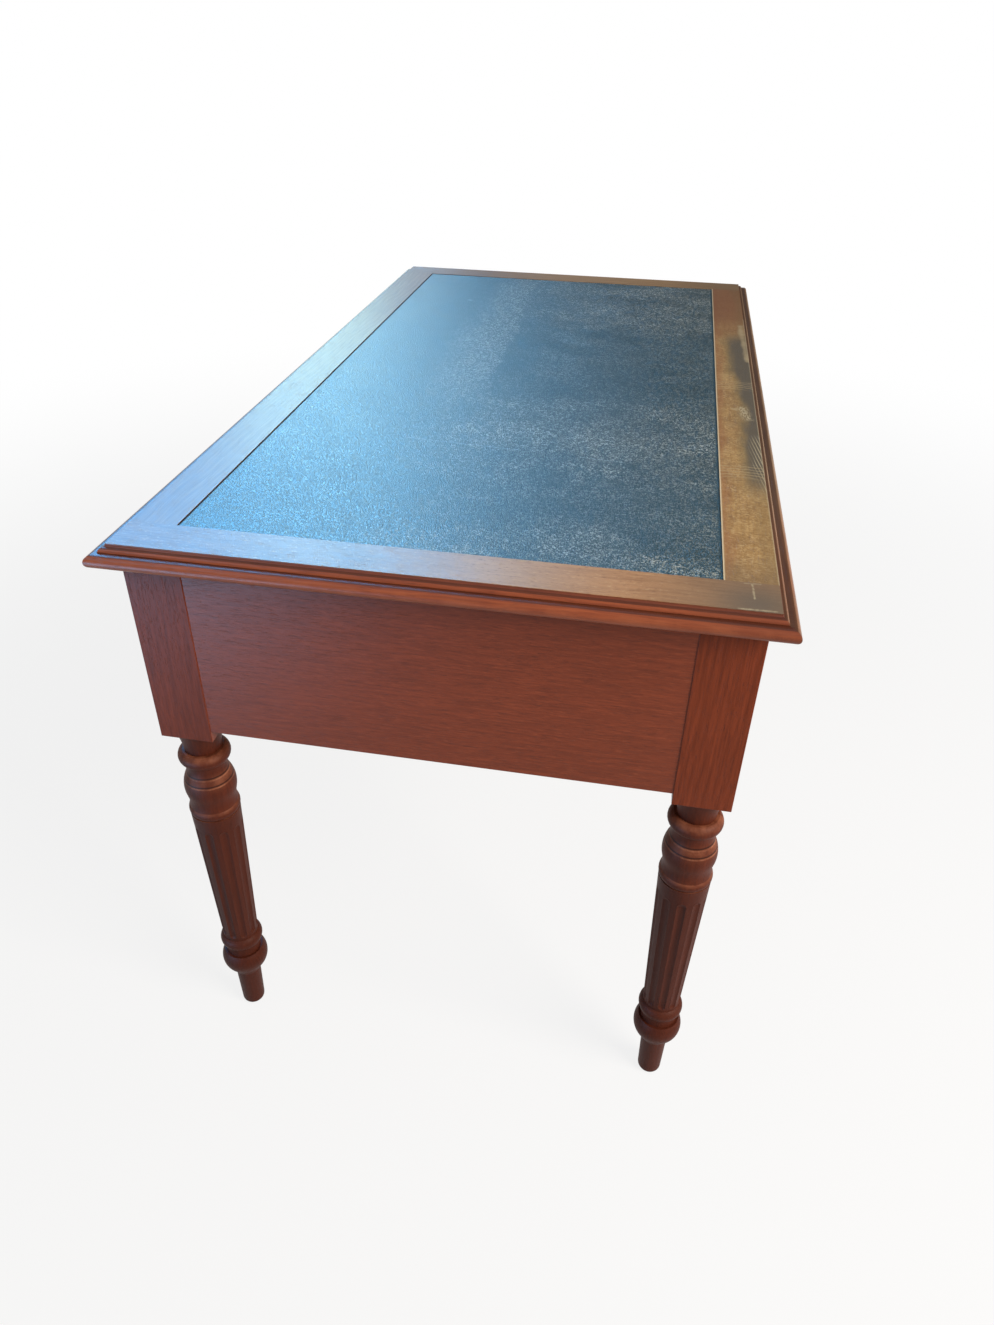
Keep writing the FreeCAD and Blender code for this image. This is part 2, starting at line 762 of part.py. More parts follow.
def drawer(name, mid_x):
    left, right = knob_centres(mid_x)
    return {
        f"drawer_{name}_front": drawer_front(mid_x),
        f"drawer_{name}_side_left": drawer_side(mid_x, -1),
        f"drawer_{name}_side_right": drawer_side(mid_x, 1),
        f"drawer_{name}_back": drawer_back(mid_x),
        f"drawer_{name}_bottom": drawer_bottom(mid_x),
        f"drawer_{name}_knob_left": knob(left),
        f"drawer_{name}_knob_right": knob(right),
    }


# Whole table

def writing_table():
    frame = moulded_frame()
    blank = leg_blank()
    front_bores = [screw_bore(*front_screw(share)) for share in front_screw_shares]
    back_bores = [screw_bore(*back_screw(share)) for share in back_screw_shares]
    nodes = {
        "top_end_rail_left": top_end_rail(frame, -1),
        "top_end_rail_right": top_end_rail(frame, 1),
        "top_front_rail": top_long_rail(frame, -1, front_bores),
        "top_back_rail": top_long_rail(frame, 1, back_bores),
        "top_panel": top_panel(),
        "leather_inset": leather_inset(),
        "top_screws": top_screws(),
        "leg_front_left": leg(blank, -1, -1),
        "leg_front_right": leg(blank, 1, -1),
        "leg_back_left": leg(blank, -1, 1),
        "leg_back_right": leg(blank, 1, 1),
        "end_apron_left": end_apron(-1),
        "end_apron_right": end_apron(1),
        "back_apron": back_apron(),
        "front_top_rail": front_top_rail(),
        "front_bottom_rail": front_bottom_rail(),
        "drawer_divider": drawer_divider(),
        "drawer_stops": drawer_stops(),
    }
    nodes.update(carriage_strips())
    nodes.update(guides())
    nodes.update(drawer("left", -opening_mid_x))
    nodes.update(drawer("right", opening_mid_x))
    return nodes


os.makedirs("parts", exist_ok=True)
for node, shape in writing_table().items():
    shape.exportStep(f"parts/{node}.step")
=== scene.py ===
import bpy
from mathutils import Matrix, Vector


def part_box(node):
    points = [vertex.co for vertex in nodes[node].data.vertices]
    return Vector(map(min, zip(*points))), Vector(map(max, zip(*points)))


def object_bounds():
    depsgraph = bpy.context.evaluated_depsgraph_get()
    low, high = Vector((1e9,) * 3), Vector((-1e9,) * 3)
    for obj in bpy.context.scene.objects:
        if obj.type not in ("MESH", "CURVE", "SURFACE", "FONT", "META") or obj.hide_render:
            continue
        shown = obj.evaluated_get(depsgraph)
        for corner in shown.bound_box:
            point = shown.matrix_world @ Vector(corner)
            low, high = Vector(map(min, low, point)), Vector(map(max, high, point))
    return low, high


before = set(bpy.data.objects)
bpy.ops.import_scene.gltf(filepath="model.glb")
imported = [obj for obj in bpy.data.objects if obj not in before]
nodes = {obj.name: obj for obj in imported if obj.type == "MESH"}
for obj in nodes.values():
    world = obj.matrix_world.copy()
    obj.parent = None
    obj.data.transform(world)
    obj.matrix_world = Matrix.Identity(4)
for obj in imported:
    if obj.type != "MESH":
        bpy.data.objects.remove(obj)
cad_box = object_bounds()


def rgb(red, green, blue):
    return (red, green, blue, 1.0)


# Levels and lines of the table that the finishes follow, in metres
top_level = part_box("top_front_rail")[1].z
block_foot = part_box("end_apron_left")[0].z
leather_low, leather_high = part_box("leather_inset")
moulding_width = 0.0175
flat_edge = cad_box[0].y + moulding_width
mitre = cad_box[1].x + cad_box[0].y
bead_foot = top_level - 0.0080
hollow_foot = top_level - 0.0035
nosing_crest = top_level - 0.0150
shaft_top = block_foot - 0.131
incised_lines = (block_foot - 0.0805, block_foot - 0.0905)


class Paint:
    """A node material being put together; positions are in metres in the table's frame."""

    def __init__(self, name):
        self.material = bpy.data.materials.new(name)
        self.material.use_nodes = True
        self.tree = self.material.node_tree
        self.shader = self.tree.nodes["Principled BSDF"]
        self.place = self.add("ShaderNodeTexCoord", {}).outputs["Object"]
        self.x, self.y, self.z = self.split(self.place)

    def put(self, socket, value):
        if isinstance(value, bpy.types.NodeSocket):
            self.tree.links.new(value, socket)
        else:
            socket.default_value = value

    def add(self, kind, inputs, **settings):
        node = self.tree.nodes.new(kind)
        for key, value in settings.items():
            setattr(node, key, value)
        for socket, value in inputs.items():
            self.put(node.inputs[socket], value)
        return node

    def math(self, operation, *values):
        inputs = dict(enumerate(values))
        return self.add("ShaderNodeMath", inputs, operation=operation).outputs[0]

    def times(self, *values):
        product = values[0]
        for value in values[1:]:
            product = self.math("MULTIPLY", product, value)
        return product

    def plus(self, a, b):
        return self.math("ADD", a, b)

    def most(self, a, b):
        return self.math("MAXIMUM", a, b)

    def size(self, value):
        return self.math("ABSOLUTE", value)

    def ramp(self, value, low, high, out_low=0.0, out_high=1.0):
        """A smooth step of value from low to high."""
        node = self.add("ShaderNodeMapRange", {0: value, 1: low, 2: high, 3: out_low, 4: out_high},
                        interpolation_type="SMOOTHSTEP")
        return node.outputs[0]

    def fall(self, value, low, high):
        """A smooth step down, 1 up to low and 0 from high on."""
        return self.ramp(value, low, high, 1.0, 0.0)

    def band(self, value, low, high, soft):
        """1 between low and high, fading to 0 over soft on either side."""
        return self.times(self.ramp(value, low - soft, low), self.fall(value, high, high + soft))

    def vector(self, x, y, z):
        return self.add("ShaderNodeCombineXYZ", {0: x, 1: y, 2: z}).outputs[0]

    def split(self, vector):
        return self.add("ShaderNodeSeparateXYZ", {0: vector}).outputs

    def length(self, x, y, z):
        node = self.add("ShaderNodeVectorMath", {0: self.vector(x, y, z)}, operation="LENGTH")
        return node.outputs["Value"]

    def noise(self, vector, scale, detail, roughness, distortion=0.0):
        node = self.add("ShaderNodeTexNoise", {"Vector": vector, "Scale": scale, "Detail": detail,
                                               "Roughness": roughness, "Distortion": distortion})
        return node.outputs["Fac"]

    def sway(self, noise, reach):
        """The noise as a shift of up to reach either way."""
        return self.plus(self.times(noise, 2 * reach), -reach)

    def mix(self, share, a, b):
        node = self.add("ShaderNodeMix", {0: share}, data_type="RGBA")
        self.put(node.inputs[6], a)
        self.put(node.inputs[7], b)
        return node.outputs[2]

    def streak(self, start, end, width):
        """A soft-edged line on the top, seen from above, 1 along its middle."""
        run = Vector(end) - Vector(start)
        unit_x, unit_y = run.normalized()
        from_x = self.plus(self.x, -start[0])
        from_y = self.plus(self.y, -start[1])
        along = self.plus(self.times(from_x, unit_x), self.times(from_y, unit_y))
        aside = self.plus(self.times(from_x, -unit_y), self.times(from_y, unit_x))
        near = self.fall(self.size(aside), 0.0, width)
        return self.times(near, self.band(along, 0.0, run.length, width))

    def ragged_streak(self, line, scale):
        """The same line, broken up by noise of that scale."""
        mask = self.streak(*line)
        rough = self.sway(self.noise(self.place, scale, 5.0, 0.65), 1.0)
        return self.times(self.ramp(self.plus(mask, rough), 0.2, 1.2), self.ramp(mask, 0.0, 0.3))

    def spot(self, centre, reach):
        """A soft round patch on the top, 1 in its middle."""
        offset = self.length(self.plus(self.x, -centre[0]), self.plus(self.y, -centre[1]), 0.0)
        return self.fall(offset, 0.0, reach)

    def bump(self, height, depth):
        node = self.add("ShaderNodeBump", {"Height": height, "Distance": depth, "Strength": 1.0})
        self.put(self.shader.inputs["Normal"], node.outputs[0])

    def shine(self, level):
        self.put(self.shader.inputs["Specular IOR Level"], level)

    def finish(self, colour, roughness):
        self.put(self.shader.inputs["Base Color"], colour)
        self.put(self.shader.inputs["Roughness"], roughness)
        return self.material


# View of the photograph: pixel sizes of the picture, metres in the table's frame
photo_width = 994
photo_height = 1325
focal_pixels = 946.0
centre_x = 483.8
centre_y = 665.75
camera_place = Vector((-1.3643, -0.1900, 1.1962))
camera_right = Vector((0.18483, -0.98270, 0.01148))
camera_up = Vector((0.56057, 0.11501, 0.82008))
camera_back = Vector((-0.80721, -0.14514, 0.57214))
film_width = 36.0
view_depth = 200.0


def add_camera():
    data = bpy.data.cameras.new("photo_view")
    data.sensor_width = film_width
    data.lens = focal_pixels / photo_height * film_width
    data.shift_x = (photo_width / 2 - centre_x) / photo_height
    data.shift_y = (centre_y - photo_height / 2) / photo_height
    data.clip_end = view_depth
    camera = bpy.data.objects.new("photo_view", data)
    turn = Matrix((camera_right, camera_up, camera_back)).transposed().to_4x4()
    camera.matrix_world = Matrix.Translation(camera_place) @ turn
    bpy.context.scene.collection.objects.link(camera)
    bpy.context.scene.camera = camera


# Lamps: name, place, target, width and height in metres, power in watts, colour
gloss_lamps = (
    ("window", (2.9, 2.25, 3.4), (0, 0.2, 0.76), (3.1, 1.5), 365, (0.04, 0.45, 1.0)),
    ("window_edge", (2.9, 1.45, 2.15), (0, 0.2, 0.76), (0.7, 1.7), 20, (0.62, 1.0, 0.78)),
    ("left_sky", (-1.7, 1.4, 2.4), (-0.6, 0.25, 0.75), (0.9, 0.9), 12, (0.3, 0.7, 1.0)),
    ("left_fill", (-1.5, 0.95, 0.15), (-0.6, 0.25, 0.6), (1.0, 0.8), 30, (0.25, 0.60, 1.0)),
)
key_lamp = ("key", (-1.5, -2.3, 2.0), (-0.3, 0, 0.6), (1.5, 1.5), 116, (1.0, 0.92, 0.82))


def add_lamp(name, place, target, size, power, colour):
    data = bpy.data.lights.new(name, "AREA")
    data.shape = "RECTANGLE"
    data.size, data.size_y = size
    data.energy = power
    data.color = colour
    lamp = bpy.data.objects.new(name, data)
    lamp.location = place
    lamp.rotation_euler = (Vector(target) - Vector(place)).to_track_quat("-Z", "Y").to_euler()
    lamp.visible_camera = False
    bpy.context.scene.collection.objects.link(lamp)
    return lamp


def add_lamps():
    """Coloured lamps that only gloss mirrors, and the warm key that lights the object."""
    for settings in gloss_lamps:
        lamp = add_lamp(*settings)
        lamp.visible_diffuse = False
    add_lamp(*key_lamp)


# World, floor and card: sizes and places in metres
white = rgb(1, 1, 1)
world_colour = rgb(0.97, 0.98, 1.0)
world_strength = 0.30
floor_half = 40.0
floor_grey = rgb(0.62, 0.62, 0.62)
floor_whitens = (0.8, 3.0)
floor_white_shares = (0.84, 1.0)
card_corners = [(4.2, 1.0, 0.4), (2.4, -4.6, 0.4), (2.4, -4.6, 5.0), (4.2, 1.0, 5.0)]
card_grey = rgb(0.10, 0.09, 0.08)


def seen_directly(tree):
    """1 for rays from the camera, from gloss and through glass, 0 for the light that falls on the object."""
    path = tree.nodes.new("ShaderNodeLightPath")
    seen = path.outputs["Is Camera Ray"]
    for kind in ("Is Glossy Ray", "Is Transmission Ray"):
        either = tree.nodes.new("ShaderNodeMath")
        either.operation = "MAXIMUM"
        tree.links.new(seen, either.inputs[0])
        tree.links.new(path.outputs[kind], either.inputs[1])
        seen = either.outputs[0]
    return seen


def light_world():
    """An even dim light on the object, before a white backdrop."""
    world = bpy.data.worlds.new("studio")
    world.use_nodes = True
    tree = world.node_tree
    light = tree.nodes["Background"]
    light.inputs["Color"].default_value = world_colour
    light.inputs["Strength"].default_value = world_strength
    backdrop = tree.nodes.new("ShaderNodeBackground")
    backdrop.inputs["Color"].default_value = white
    backdrop.inputs["Strength"].default_value = 1.0
    mix = tree.nodes.new("ShaderNodeMixShader")
    tree.links.new(seen_directly(tree), mix.inputs[0])
    tree.links.new(light.outputs[0], mix.inputs[1])
    tree.links.new(backdrop.outputs[0], mix.inputs[2])
    tree.links.new(mix.outputs[0], tree.nodes["World Output"].inputs["Surface"])
    bpy.context.scene.world = world


def add_sheet(name, corners, paint):
    mesh = bpy.data.meshes.new(name)
    mesh.from_pydata(corners, [], [(0, 1, 2, 3)])
    mesh.materials.append(paint.material)
    sheet = bpy.data.objects.new(name, mesh)
    bpy.context.scene.collection.objects.link(sheet)
    return sheet


def matt_paint(name, colour):
    paint = Paint(name)
    paint.shine(0.0)
    paint.finish(colour, 1.0)
    return paint


def add_floor():
    """A pale floor that takes the object's shadow and whitens outwards."""
    paint = matt_paint("pale_floor", floor_grey)
    glow = paint.add("ShaderNodeEmission", {"Color": white})
    reach = paint.length(paint.x, paint.y, paint.z)
    whitening = paint.ramp(reach, *floor_whitens, *floor_white_shares)
    share = paint.times(seen_directly(paint.tree), whitening)
    mix = paint.add("ShaderNodeMixShader", {0: share, 1: paint.shader.outputs[0], 2: glow.outputs[0]})
    paint.put(paint.tree.nodes["Material Output"].inputs["Surface"], mix.outputs[0])
    corners = [(-floor_half, -floor_half, 0), (floor_half, -floor_half, 0),
               (floor_half, floor_half, 0), (-floor_half, floor_half, 0)]
    floor = add_sheet("floor", corners, paint)


def add_dark_card():
    """A dark card beyond the far right corner, which only the gloss of the top mirrors."""
    card = add_sheet("dark_card", card_corners, matt_paint("dark_card", card_grey))
    card.visible_camera = False
    card.visible_diffuse = False
    card.visible_transmission = False
    card.visible_shadow = False


# Woods: the colours of the dark and the light streaks of each
frame_red = (rgb(0.152, 0.031, 0.012), rgb(0.236, 0.048, 0.018))
leg_red = (rgb(0.120, 0.024, 0.009), rgb(0.218, 0.044, 0.017))
moulding_red = (rgb(0.17, 0.034, 0.011), rgb(0.31, 0.074, 0.024))
moulding_brown = (rgb(0.165, 0.115, 0.072), rgb(0.28, 0.195, 0.124))
faded_brown = (rgb(0.16, 0.085, 0.042), rgb(0.29, 0.165, 0.082))
near_bare = (rgb(0.30, 0.150, 0.066), rgb(0.48, 0.265, 0.125))
far_bare = (rgb(0.25, 0.150, 0.070), rgb(0.46, 0.290, 0.142))
honey = (rgb(0.32, 0.185, 0.066), rgb(0.43, 0.265, 0.105))
inner_brown = (rgb(0.20, 0.105, 0.046), rgb(0.36, 0.21, 0.10))
lining_pale = (rgb(0.30, 0.18, 0.085), rgb(0.47, 0.31, 0.165))


class Wood(Paint):
    """Open-pored wood with growth rings, streaks and pores that run along one axis."""

    relief_depth = 0.00010
    pore_dark = rgb(0.02, 0.006, 0.003)

    # Noise cycles per metre, along the grain and across it
    waver_scale = (9.0, 22.0)
    streak_scale = (16.0, 420.0)
    fibre_scale = (45.0, 1500.0)
    pore_scale = (55.0, 1700.0)
    cloud_scale = (3.0, 9.0)
    wobble_scale = (2.2, 14.0)

    # The pith's depth under the board and its slope, and the rings in radians per metre
    pith_depth = 0.11
    pith_slope = 0.07
    ring_rate = 900.0

    def __init__(self, name, grain, colours, shift, figure=0.06):
        """Shift moves the pattern of the grain, so that no two boards look the same."""
        super().__init__(name)
        along, across, depth = {"X": (self.x, self.y, self.z), "Y": (self.y, self.x, self.z),
                                "Z": (self.z, self.x, self.y)}[grain]
        self.along = self.plus(along, shift)
        self.across = self.plus(across, shift * 0.37)
        self.depth = self.plus(depth, shift * 0.21)
        waver = self.grain_noise(self.waver_scale, 2.0, 0.5)
        self.across = self.plus(self.across, self.times(waver, 0.012))
        streaks = self.grain_noise(self.streak_scale, 3.0, 0.6)
        self.fibres = self.grain_noise(self.fibre_scale, 2.0, 0.6)
        self.pores = self.ramp(self.grain_noise(self.pore_scale, 1.0, 0.5), 0.60, 0.72)
        clouds = self.grain_noise(self.cloud_scale, 2.0, 0.5)
        tone = self.plus(self.times(streaks, 0.55), self.times(self.fibres, 0.2))
        tone = self.plus(tone, self.times(clouds, 0.25))
        tone = self.plus(tone, self.times(self.ring_lines(), figure))
        self.tone = self.ramp(tone, 0.32, 0.68 + figure)
        self.colour = self.mix(self.tone, *colours)
        self.paint_over(self.pores, 0.35, self.pore_dark)
        self.gloss = self.plus(self.times(self.fibres, 0.16), 0.28)

    def grain_noise(self, scale, detail, roughness, distortion=0.0):
        """Noise stretched along the grain."""
        along_scale, across_scale = scale
        place = self.vector(self.times(self.along, along_scale), self.times(self.across, across_scale),
                            self.times(self.depth, across_scale))
        return self.noise(place, 1.0, detail, roughness, distortion)

    def ring_lines(self):
        """Growth rings about a pith that leans away under the board, so that they open into arches."""
        sunk = self.plus(self.times(self.along, self.pith_slope), self.pith_depth)
        reach = self.length(0.0, self.across, self.plus(self.depth, sunk))
        wobble = self.times(self.grain_noise(self.wobble_scale, 3.0, 0.55), 0.03)
        phase = self.times(self.plus(reach, wobble), self.ring_rate)
        return self.plus(self.times(self.math("SINE", phase), 0.5), 0.5)

    def paint_over(self, mask, share, colour):
        self.colour = self.mix(self.times(mask, share), self.colour, colour)

    def done(self):
        relief = self.plus(self.times(self.pores, -1.0), self.times(self.fibres, 0.8))
        self.bump(relief, self.relief_depth)
        return self.finish(self.colour, self.gloss)


class TopWood(Wood):
    """A rail of the top: red moulding, and a flat face on which the polish has faded."""

    relief_depth = 0.00005
    step_height = 0.0004
    # Painted shade for the steps and the hollow of the moulding
    step_painted_shade = rgb(0.03, 0.007, 0.003)
    hollow_painted_shade = rgb(0.05, 0.011, 0.006)
    crest_rubbed = rgb(0.42, 0.135, 0.055)
    # Painted shade for the walls of the recess around the leather
    recess_painted_shade = rgb(0.012, 0.008, 0.006)

    # Where the moulding along the front turns browner, and how brown it is at either end
    browning = (-0.64, -0.25, 0.5, 0.9)

    def __init__(self, name, grain, face_colours, shift):
        super().__init__(name, grain, moulding_red, shift)
        self.face = self.mix(self.tone, *face_colours)

    def paint_face(self, mask, share, colour):
        self.face = self.mix(self.times(mask, share), self.face, colour)

    def wear_bare(self, mask, colours):
        self.face = self.mix(mask, self.face, self.mix(self.tone, *colours))

    def mottle(self, texture, light_patches, dark_patches):
        """Light patches where the texture is high, dark ones where it is low."""
        light_range, light_share, light = light_patches
        dark_range, dark_share, dark = dark_patches
        self.paint_face(self.ramp(texture, *light_range), light_share, light)
        self.paint_face(self.fall(texture, *dark_range), dark_share, dark)

    def brown_front(self):
        """The moulding along the sitter's side is browner, the more so away from the near corner."""
        brown = self.mix(self.tone, *moulding_brown)
        before_edge = self.fall(self.y, flat_edge - 0.002, flat_edge)
        reach = self.plus(self.size(self.x), self.y)
        front_side = self.times(before_edge, self.fall(reach, mitre - 0.002, mitre + 0.002))
        self.paint_over(front_side, self.ramp(self.x, *self.browning), brown)

    def shade_moulding_and_rub_crest(self):
        """Painted shade in the steps and the hollow of the moulding, and the crest of the nosing rubbed."""
        step = self.step_height
        # Painted shade: dark lines along the two steps, then the hollow darkened
        for level in (bead_foot, hollow_foot):
            self.paint_over(self.band(self.z, level - step, level + step, step), 0.7, self.step_painted_shade)
        hollow = self.band(self.z, hollow_foot + step, top_level - 0.0010, step)
        self.paint_over(hollow, 0.5, self.hollow_painted_shade)
        crest = self.band(self.z, nosing_crest - 0.002, nosing_crest + 0.003, 0.004)
        lightened = self.times(crest, self.ramp(self.noise(self.place, 35.0, 4.0, 0.6), 0.35, 0.7))
        self.paint_over(lightened, 0.2, self.crest_rubbed)

    def beside_leather(self):
        """1 on the walls of the recess around the leather."""
        within_x = self.fall(self.size(self.x), leather_high.x + 0.002, leather_high.x + 0.004)
        within_y = self.fall(self.size(self.y), leather_high.y + 0.002, leather_high.y + 0.004)
        return self.times(within_x, within_y)

    def done(self):
        self.brown_front()
        self.shade_moulding_and_rub_crest()
        # Painted shade: the walls of the recess are painted near black
        self.paint_over(self.beside_leather(), 1.0, self.recess_painted_shade)
        flat = self.ramp(self.z, top_level - 0.0008, top_level - 0.0002)
        self.colour = self.mix(flat, self.colour, self.face)
        self.shine(0.28)
        return super().done()


# Aprons, rails, drawer fronts and knobs
frame_figure = 0.02
tick_scale = (75.0, 820.0)
tick_dark = rgb(0.085, 0.018, 0.008)
tick_light = rgb(0.34, 0.082, 0.034)


def frame_wood(name, grain, shift):
    """Red-brown polish over a calm figure, with short light and dark ticks along the grain."""
    wood = Wood(name, grain, frame_red, shift, frame_figure)
    ticks = wood.grain_noise(tick_scale, 2.0, 0.6)
    wood.paint_over(wood.ramp(ticks, 0.56, 0.70), 0.45, tick_dark)
    wood.paint_over(wood.fall(ticks, 0.30, 0.44), 0.30, tick_light)
    wood.shine(0.2)
    return wood.done()


# Legs
# Painted shade for the turned part of the legs
turned_painted_shade = rgb(0.028, 0.006, 0.003)
# Painted highlight for the upward faces of the turned part
ring_painted_highlight = rgb(0.30, 0.105, 0.055)
groove_dark = rgb(0.010, 0.003, 0.002)
groove_half = 0.0004
lip_dark_side = 0.0018
lip_pale_side = 0.0028
# Painted highlight on the lip below each incised line
lip_painted_highlight = rgb(0.42, 0.17, 0.095)
line_blur = 0.0008


def leg_wood():
    """Painted shade on the turned part, incised bulb lines, and painted highlights on their lips and upward
    faces.
    """
    wood = Wood("leg_wood", "Z", leg_red, 3.1)
    # Painted shade: the turned part is darkened, more on the shaft than on the bulb
    turned = wood.fall(wood.z, block_foot - 0.018, block_foot - 0.012)
    wood.paint_over(turned, wood.ramp(wood.z, shaft_top - 0.03, shaft_top, 0.78, 0.66), turned_painted_shade)
    # Painted highlight: upward faces of the turned part, higher up the leg, are lighter, broken by noise
    facing = wood.split(wood.add("ShaderNodeNewGeometry", {}).outputs["Normal"])
    lightened = wood.times(turned, wood.ramp(facing["Z"], 0.0, 0.7), wood.ramp(wood.z, 0.10, 0.40))
    uneven = wood.ramp(wood.noise(wood.place, 60.0, 4.0, 0.65), 0.35, 0.68, 0.25, 1.0)
    wood.paint_over(wood.times(lightened, uneven), 0.6, ring_painted_highlight)
    for level in incised_lines:
        groove = wood.band(wood.z, level - groove_half, level + groove_half, line_blur)
        wood.paint_over(groove, 0.75, groove_dark)
        # Painted highlight: a pale band just below each incised line
        lip_highlight = wood.band(wood.z, level - lip_pale_side, level - lip_dark_side, line_blur)
        wood.paint_over(wood.times(lip_highlight, uneven), 0.45, lip_painted_highlight)
    wood.gloss = wood.plus(wood.gloss, wood.times(turned, 0.14))
    wood.shine(0.10)
    return wood.done()


# Wear on the flat of the top, with a painted sheen and painted shade on the near end rail, in metres seen
# from above.
# A line is its start, its end and its width, and patches are the range of a texture, their share and their
# colour.
pale_scratch = rgb(0.52, 0.45, 0.30)
bare_wood = rgb(0.44, 0.35, 0.21)

near_bare_fade = (-0.14, 0.10)
# Painted shade that darkens the near moulding towards its front corner
near_moulding_shade_fade = (-0.33, -0.12)
near_moulding_painted_shade = rgb(0.12, 0.026, 0.009)
# A painted sheen: a pale soft spot on the flat
near_sheen_spot = ((-0.59, -0.06), 0.14)
near_painted_sheen = rgb(0.56, 0.46, 0.35)
near_corner_fade = (-0.29, -0.17)
near_corner = rgb(0.180, 0.126, 0.082)
near_stain_spot = ((-0.606, -0.303), 0.052)
near_stain = rgb(0.12, 0.105, 0.085)
near_fleck_scale = (150.0, 300.0)
near_light_flecks = ((0.54, 0.72), 0.50, rgb(0.60, 0.42, 0.24))
near_dark_flecks = ((0.28, 0.46), 0.45, rgb(0.17, 0.085, 0.042))

# The scratches in the near corner: line, scale of the noise that breaks it up, share
near_scratches = (
    (((-0.5690, -0.2920), (-0.5680, -0.3060), 0.0024), 300.0, 0.35),
    (((-0.5700, -0.2985), (-0.5960, -0.2995), 0.0022), 300.0, 0.55),
    (((-0.6150, -0.318), (-0.6160, -0.285), 0.0025), 260.0, 0.6),
)

far_bare_fade = (0.05, 0.32)
far_corner_fade = (-0.30, -0.14)
far_corner = rgb(0.150, 0.100, 0.058)


def near_rail_wood():
    """The end rail nearest the sitter's left hand: faded, greyed and scratched towards its front corner,
    with a painted sheen on its flat and painted shade on its moulding towards that corner.
    """
    wood = TopWood("top_wood_near", "Y", faded_brown, 1.0)
    wood.wear_bare(wood.fall(wood.y, *near_bare_fade), near_bare)
    # Painted sheen: a pale spot on the flat
    wood.paint_face(wood.spot(*near_sheen_spot), 0.4, near_painted_sheen)
    # Painted shade on the moulding towards the front corner
    wood.paint_over(wood.fall(wood.y, *near_moulding_shade_fade), 0.55, near_moulding_painted_shade)
    flecks = wood.grain_noise(near_fleck_scale, 3.0, 0.65)
    wood.mottle(flecks, near_light_flecks, near_dark_flecks)
    wood.paint_face(wood.fall(wood.y, *near_corner_fade), 0.75, near_corner)
    wood.paint_face(wood.spot(*near_stain_spot), 0.7, near_stain)
    for line, scale, share in near_scratches:
        wood.paint_face(wood.ragged_streak(line, scale), share, pale_scratch)
    return wood.done()


def far_rail_wood():
    """The other end rail: faded, and darker towards its front corner."""
    wood = TopWood("top_wood_far", "Y", faded_brown, 2.3)
    wood.wear_bare(wood.fall(wood.y, *far_bare_fade), far_bare)
    wood.paint_face(wood.fall(wood.y, *far_corner_fade), 0.6, far_corner)
    return wood.done()


def back_rail_wood():
    return TopWood("top_wood_back", "X", faded_brown, 5.7).done()


# The front rail: textures
drift_scale = (9.0, 40.0)
drift_reach = 0.015
fleck_scale = (110.0, 260.0)
light_flecks = ((0.55, 0.75), 0.35, rgb(0.60, 0.42, 0.20))
dark_flecks = ((0.28, 0.45), 0.35, rgb(0.13, 0.070, 0.026))
blotch_scale = 26.0
light_blotches = ((0.52, 0.66), 0.35, rgb(0.54, 0.385, 0.175))
dark_blotches = ((0.34, 0.48), 0.40, rgb(0.23, 0.135, 0.060))
ripple_scale = (170.0, 110.0)
ripple_swirl = 2.2
light_ripple = ((0.50, 0.64), 0.50, rgb(0.62, 0.45, 0.23))
dark_ripple = ((0.34, 0.48), 0.42, rgb(0.17, 0.095, 0.036))
chalk_scale = (190.0, 420.0)

# The front rail: places and colours of its wear, and of a pale line beside the leather that is partly
# painted highlight
seam_side_fade = (-0.287, -0.276)
seam_side_red = rgb(0.30, 0.120, 0.050)
far_end_fade = (0.16, 0.42)
far_end_red = rgb(0.225, 0.095, 0.042)
edge_side_fade = (-0.318, -0.300)
edge_side_brown = rgb(0.19, 0.125, 0.055)
near_end_fade = (-0.575, -0.490)
near_end_brown = rgb(0.21, 0.140, 0.075)
stain_run = (-0.30, 0.20, 0.09)
stain_spread_run = (0.08, 0.24, 0.07)
stain_spread = 0.012
stain_border_fade = (-0.307, -0.290)
stain_border = rgb(0.17, 0.140, 0.072)
stain_core_fade = (-0.316, -0.300)
stain_core = rgb(0.098, 0.088, 0.074)
bare_strip = ((0.315, -0.3165), (0.120, -0.3215), 0.010)
bare_strip_scale = 30.0
splash = ((-0.130, -0.311), (-0.090, -0.306), 0.011)
splash_tail = ((-0.100, -0.305), (-0.094, -0.293), 0.005)
scratch_run = (-0.35, -0.21, 0.03)
scratch_edge_fade = (-0.324, -0.310)
scratch_rate = 1700.0
scratch_slant = 240.0
arch_centres = ((-0.040, -0.297), (-0.350, -0.297))
arch_ring = (0.030, 0.058, 0.012)
arch_rate = 800.0
worn_edge = ((0.36, flat_edge), (-0.60, flat_edge), 0.0018)
# A pale line beside the leather's front edge: worn bare wood, and painted highlight where that edge catches
# light
seam_line = leather_low.y - 0.0006
seam_wear_and_highlight = ((leather_low.x, seam_line), (leather_high.x, seam_line), 0.0020)
seam_cream_and_highlight = rgb(0.76, 0.66, 0.45)


